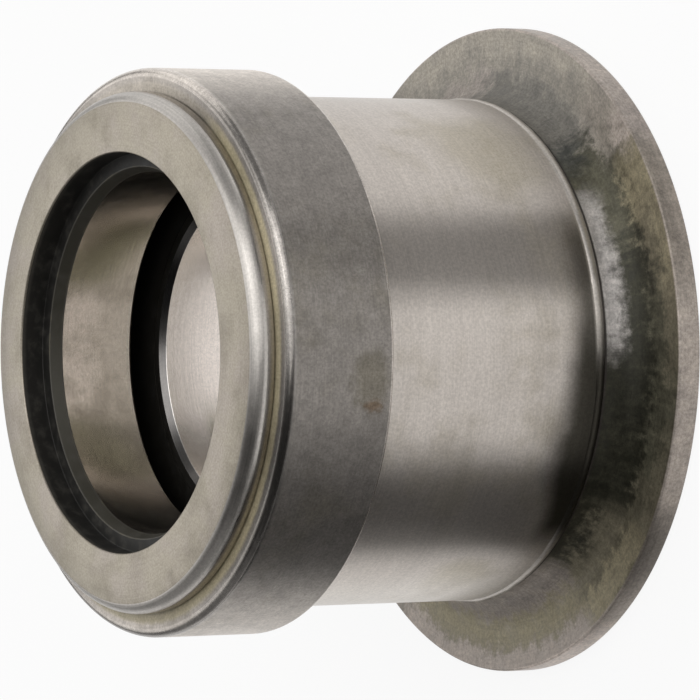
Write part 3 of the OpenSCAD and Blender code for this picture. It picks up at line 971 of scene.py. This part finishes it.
class BEARING_OT_fork_flange(bpy.types.Operator):
    """Turns the fork flange, whose hub flares into it in one fillet"""

    bl_idname = "bearing.fork_flange"
    bl_label = "Fork flange"

    def execute(self, context):
        s = sizes()
        fillet = WELD_Z - s.flange_t
        hub_r = s.sleeve_r + s.bead_h - s.bead_r + math.sqrt(s.bead_r ** 2 - s.bead_offset ** 2)
        section = [
            (BUSH_R, 0.0),
            (FLANGE_R, 0.0),
            (FLANGE_R, s.flange_t),
            *arc((hub_r + fillet, WELD_Z), fillet, 270, 180, 2 * ARC_STEPS),
            (BUSH_R, WELD_Z),
        ]
        edges = [
            ((BUSH_R, 0.0), s.mouth_edge, 1),
            ((FLANGE_R, 0.0), s.rim_edge, 4),
            ((FLANGE_R, s.flange_t), s.rim_edge, 4),
        ]
        piece = turn("fork_flange_turned", section, edges)
        place(piece, "fork_flange", "sleeve_unit", [heat_tinted_flange()])
        return {"FINISHED"}


class BEARING_OT_guide_bushes(bpy.types.Operator):
    """Turns the two guide bushes"""

    bl_idname = "bearing.guide_bushes"
    bl_label = "Guide bushes"

    def execute(self, context):
        s = sizes()
        lining = bright_bush_lining()
        # Near-black finish on the bushes' ends and outsides
        oil = hardening_scale("near_black_bush_ends", colours().recess_black, colours().scale_black, 0.35)
        lining_end_r = s.guide_r + 1.05 * s.bush_edge
        near_black_slot = 1
        for node in ("front_guide_bush", "rear_guide_bush"):
            low, high = heights(node)
            section = [(s.guide_r, low), (BUSH_R, low), (BUSH_R, high), (s.guide_r, high)]
            edges = [
                ((s.guide_r, low), s.bush_edge, 1),
                ((s.guide_r, high), s.bush_edge, 1),
                ((BUSH_R, low), s.small_edge, 2),
                ((BUSH_R, high), s.small_edge, 2),
            ]
            piece = turn(node + "_lined", section, edges)
            place(piece, node, "sleeve_unit", [lining, oil])
            for face in piece.data.polygons:
                if face.center.xy.length > lining_end_r:
                    face.material_index = near_black_slot
        return {"FINISHED"}


class BEARING_OT_inner_pieces(bpy.types.Operator):
    """Finishes the pieces inside the cap: rings, balls, cage, seals, washer and spring"""

    bl_idname = "bearing.inner_pieces"
    bl_label = "Inner pieces"

    def execute(self, context):
        c = colours()
        finishes = {
            "outer_ring": ("ground_bearing_steel", c.bearing_bright, 1.0, 0.16, 0.26, 5 * MM, 0.002 * MM),
            "front_seal": ("seal_rubber", c.seal_black, 0.0, 0.55, 0.75, 1.5 * MM, 0.02 * MM),
            "rear_shield": ("stamped_shield", c.bearing_bright, 1.0, 0.30, 0.45, 4 * MM, 0.004 * MM),
            "friction_washer": ("phosphated_washer", c.washer_grey, 0.6, 0.5, 0.7, 1.0 * MM, 0.01 * MM),
            "wave_spring": ("blued_spring", c.spring_blue, 0.9, 0.25, 0.4, 6 * MM, 0.004 * MM),
            "ball_cage": ("moulded_cage", c.cage_green, 0.0, 0.4, 0.55, 2 * MM, 0.01 * MM),
        }
        finishes = {node: plain_finish(*values) for node, values in finishes.items()}
        for node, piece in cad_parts.items():
            is_ball = node.startswith("ball_") and node != "ball_cage"
            finish = finishes.get("outer_ring" if is_ball else node)
            if finish:
                piece.data.materials.clear()
                piece.data.materials.append(finish)
        return {"FINISHED"}


class BEARING_OT_stage(bpy.types.Operator):
    """Sets the floor, the dark flags and card, the world, the lamps and the camera"""

    bl_idname = "bearing.stage"
    bl_label = "Stage"

    def execute(self, context):
        scene = context.scene
        scene.view_settings.view_transform = "Standard"
        self.floor()
        self.flags()
        self.card()
        self.world(scene)
        for lamp in LAMPS:
            self.lamp(*lamp)
        self.camera(scene)
        return {"FINISHED"}

    def show_mix(self, shown, share, plain, other):
        """Shows a mix of two shader nodes."""
        mix = add_node("MixShader", {0: share, 1: plain.outputs[0], 2: other.outputs[0]})
        feed(shown, mix.outputs[0])

    def floor(self):
        """A pale floor that keeps the shadow, and shows white to the camera and in reflections."""
        finish, surface, at = new_finish("pale_floor")
        dress(surface, scaled(colours().floor_white, vary(at.cloud(0.6), 0.99, 1.0)), 0.0, STAGE_ROUGHNESS)
        feed(surface.inputs["Specular IOR Level"], 0.0)
        nodes = finish.node_tree.nodes
        rays = nodes.new("ShaderNodeLightPath").outputs
        seen = larger(larger(rays["Is Camera Ray"], rays["Is Glossy Ray"]), rays["Is Transmission Ray"])
        white = nodes.new("ShaderNodeEmission")
        feed(white.inputs["Strength"], 1.0)
        shown = surface.outputs["BSDF"].links[0].to_socket
        self.show_mix(shown, times(seen, FLOOR_GLOW), surface, white)
        circle = bpy.ops.mesh.primitive_circle_add
        floor = start_piece(
            "floor", circle, vertices=STAGE_STEPS, radius=FLOOR_R, fill_type="NGON", location=(0, 0, 0)
        )
        floor.data.materials.append(finish)

    def flags(self):
        """Dark flags laid beside the part. Only reflections see them, so the floor stays pale."""
        finish, shown = empty_finish("dark_flags")
        nodes = finish.node_tree.nodes
        clear = nodes.new("ShaderNodeBsdfTransparent")
        dark = nodes.new("ShaderNodeBsdfDiffuse")
        feed(dark.inputs["Color"], colours().flag_black)
        at = Round(finish.node_tree)
        total = 0.0
        for start, end, soft_start, soft_end, share in FLAGS:
            after_start = self.past_edge(at, start, soft_start, 1)
            before_end = self.past_edge(at, end, soft_end, -1)
            total = larger(total, times(after_start, before_end, share))
        self.show_mix(shown, total, clear, dark)
        circle = bpy.ops.mesh.primitive_circle_add
        flag = start_piece("flags", circle, vertices=STAGE_STEPS, radius=FLAG_INNER, location=(0, 0, 0))
        bpy.ops.object.mode_set(mode="EDIT")
        bpy.ops.mesh.select_all(action="SELECT")
        extrude_ring(FLAG_RISE, FLAG_OUTER / FLAG_INNER)
        bpy.ops.object.mode_set(mode="OBJECT")
        flag.data.materials.append(finish)
        self.show_in_reflections_only(flag)

    def card(self):
        """A dark card overhead on the near left, with two sides that hang down. Only reflections see it."""
        finish, surface, at = new_finish("dark_card")
        dress(surface, scaled(colours().flag_black, vary(at.cloud(0.2), 0.9, 1.1)), 0.0, STAGE_ROUGHNESS)
        low, high = Vector(CARD_LOW), Vector(CARD_HIGH)
        card = start_piece("dark_card", bpy.ops.mesh.primitive_plane_add, size=1.0, location=(0, 0, 0))
        bpy.ops.object.mode_set(mode="EDIT")
        bpy.ops.mesh.select_all(action="SELECT")
        widths = (high.x - low.x, CARD_SIDE_END - low.y, 1)
        bpy.ops.transform.resize(value=widths, center_override=(0, 0, 0))
        bpy.ops.transform.translate(value=((low.x + high.x) / 2, (low.y + CARD_SIDE_END) / 2, low.z))
        self.extrude_edge(card, 1, CARD_SIDE_END, (0, high.y - CARD_SIDE_END, 0))
        self.extrude_edge(card, 1, low.y, (0, 0, -CARD_DROP))
        self.extrude_edge(card, 0, low.x, (0, 0, -CARD_DROP), CARD_SIDE_END)
        bpy.ops.object.mode_set(mode="OBJECT")
        card.data.materials.append(finish)
        self.show_in_reflections_only(card)

    def extrude_edge(self, card, axis, middle, way, end=math.inf):
        """Extrudes the overhead card's edge that lies at one place along an axis, up to an end along Y."""
        def in_place(v):
            overhead = v.co.z > CARD_LOW[2] - CARD_TOLERANCE
            return overhead and abs(v.co[axis] - middle) < CARD_TOLERANCE and v.co.y < end + CARD_TOLERANCE

        select_edges(card.data, lambda edge: all(in_place(v) for v in edge.verts))
        bpy.ops.mesh.extrude_edges_move(TRANSFORM_OT_translate={"value": way})

    def show_in_reflections_only(self, item):
        item.visible_camera = False
        item.visible_diffuse = False
        item.visible_shadow = False
        item.visible_transmission = False

    def past_edge(self, at, angle, soft, side):
        """One past a straight edge of a flag, which leaves the sleeve where its reflection is to end.

        A ray that the sleeve turns back at an angle leaves it at twice that angle.
        """
        a = math.radians(angle)
        start = sizes().sleeve_r * Vector((math.sin(a), -math.cos(a)))
        along = Vector((math.sin(2 * a), -math.cos(2 * a)))
        x = minus(at.x, start.x)
        y = minus(at.y, start.y)
        far = plus(times(x, along.x), times(y, along.y))
        off = minus(times(y, along.x), times(x, along.y))
        turned = over(off, larger(far, FLAG_NEAR))
        reach = math.radians(2 * soft)
        return ramp(times(turned, side), -reach, reach)

    def world(self, scene):
        world = bpy.data.worlds.new("studio")
        world.use_nodes = True
        background = world.node_tree.nodes["Background"]
        feed(background.inputs["Color"], (1.0, 1.0, 1.0))
        feed(background.inputs["Strength"], WORLD_STRENGTH)
        scene.world = world

    def lamp(self, name, middle, aim, width, height, power):
        """One soft box that looks at a point."""
        light = bpy.data.lights.new(name, "AREA")
        light.shape = "RECTANGLE"
        light.size = width
        light.size_y = height
        light.energy = power
        lamp = bpy.data.objects.new(name, light)
        lamp.visible_camera = False
        bpy.context.scene.collection.objects.link(lamp)
        lamp.location = middle
        lamp.rotation_mode = "QUATERNION"
        lamp.rotation_quaternion = (Vector(aim) - Vector(middle)).to_track_quat("-Z", "Y")

    def camera(self, scene):
        v = scene.bearing_view
        forward = Vector((0, math.cos(v.elevation), -math.sin(v.elevation)))
        right = Vector((0, -math.sin(v.elevation), -math.cos(v.elevation)))
        down = forward.cross(right)
        turned_right = math.cos(v.roll) * right - math.sin(v.roll) * down
        turned_down = math.sin(v.roll) * right + math.cos(v.roll) * down
        data = bpy.data.cameras.new("camera")
        data.lens = v.lens
        data.sensor_width = SENSOR_WIDTH
        data.clip_start, data.clip_end = CLIP
        camera = bpy.data.objects.new("camera", data)
        scene.collection.objects.link(camera)
        aim = Vector((0, 0, CONTACT_Z))
        location = aim + v.across * turned_right - v.below * turned_down - v.distance * forward
        axes = Matrix((turned_right, -turned_down, -forward)).transposed().to_4x4()
        camera.matrix_world = Matrix.Translation(location) @ axes
        scene.camera = camera


# Soft boxes: name, middle, the point it looks at, its two widths and its power
LAMPS = [
    ("top_box", (0.44, -0.20, 1.20), (0.44, -0.20, 0.0), 0.90, 1.40, 5.0),
    ("front_box", (0.36, -0.70, 0.66), (0.0, 0.0, 0.04), 1.0, 1.0, 4.1),
    ("side_box", (0.92, 0.65, 0.46), (0.0, 0.0, 0.05), 0.9, 0.8, 2.0),
    ("back_box", (0.0, 1.02, 0.84), (0.0, 0.0, 0.04), 1.3, 0.9, 4.2),
]
WORLD_STRENGTH = 0.25
# The camera's sensor in millimetres, and its nearest and farthest sight
SENSOR_WIDTH = 36.0
CLIP = (0.01, 50.0)
# Steps round the floor and the flags, and the roughness of floor and card
STAGE_STEPS = 96
STAGE_ROUGHNESS = 0.9
FLOOR_R = 6.0
# Share of plain white that the floor shows to the camera and in reflections
FLOOR_GLOW = 0.89
# Dark flags on the floor: where the sleeve's reflection of one begins and ends, in degrees round
# the sleeve, the softness of each end, and how dark the flag is
FLAGS = [
    (-52.0, -24.5, 3.5, 7.5, 1.0),
    (12.5, 32.0, 2.5, 5.0, 0.85),
]
FLAG_INNER = 0.056
FLAG_OUTER = 0.60
FLAG_RISE = 0.5 * MM
# The slope of a flag's edge is not taken nearer to the sleeve than this
FLAG_NEAR = 12 * MM
# Dark card that hangs on the near left: its lowest and highest corner overhead, and how far it comes down
CARD_LOW = (-1.3, -1.6, 1.25)
CARD_HIGH = (-0.03, 0.6, 1.25)
CARD_DROP = 1.2
# The hanging side of the card ends here along Y
CARD_SIDE_END = -0.3
CARD_TOLERANCE = 1 * MM

OPERATORS = [
    BEARING_OT_contact_ring,
    BEARING_OT_bearing_cap,
    BEARING_OT_sliding_sleeve,
    BEARING_OT_fork_flange,
    BEARING_OT_guide_bushes,
    BEARING_OT_inner_pieces,
    BEARING_OT_stage,
]


class BEARING_PT_panel(bpy.types.Panel):
    """Lists the pieces"""

    bl_idname = "BEARING_PT_panel"
    bl_label = "Release bearing"
    bl_space_type = "VIEW_3D"
    bl_region_type = "UI"
    bl_category = "Release bearing"

    def draw(self, context):
        for operator in OPERATORS:
            self.layout.operator(operator.bl_idname)


GROUPS = {"bearing_sizes": BearingSizes, "bearing_colours": BearingColours, "bearing_view": BearingView}


def register():
    for name, group in GROUPS.items():
        bpy.utils.register_class(group)
        setattr(bpy.types.Scene, name, bpy.props.PointerProperty(type=group))
    for item in (*OPERATORS, BEARING_PT_panel):
        bpy.utils.register_class(item)


def unregister():
    for item in reversed((*OPERATORS, BEARING_PT_panel)):
        bpy.utils.unregister_class(item)
    for name, group in GROUPS.items():
        delattr(bpy.types.Scene, name)
        bpy.utils.unregister_class(group)


def main():
    register()
    bpy.ops.bearing.stage()
    bpy.ops.bearing.contact_ring()
    bpy.ops.bearing.bearing_cap()
    bpy.ops.bearing.sliding_sleeve()
    bpy.ops.bearing.fork_flange()
    bpy.ops.bearing.guide_bushes()
    bpy.ops.bearing.inner_pieces()


if __name__ == "__main__":
    main()
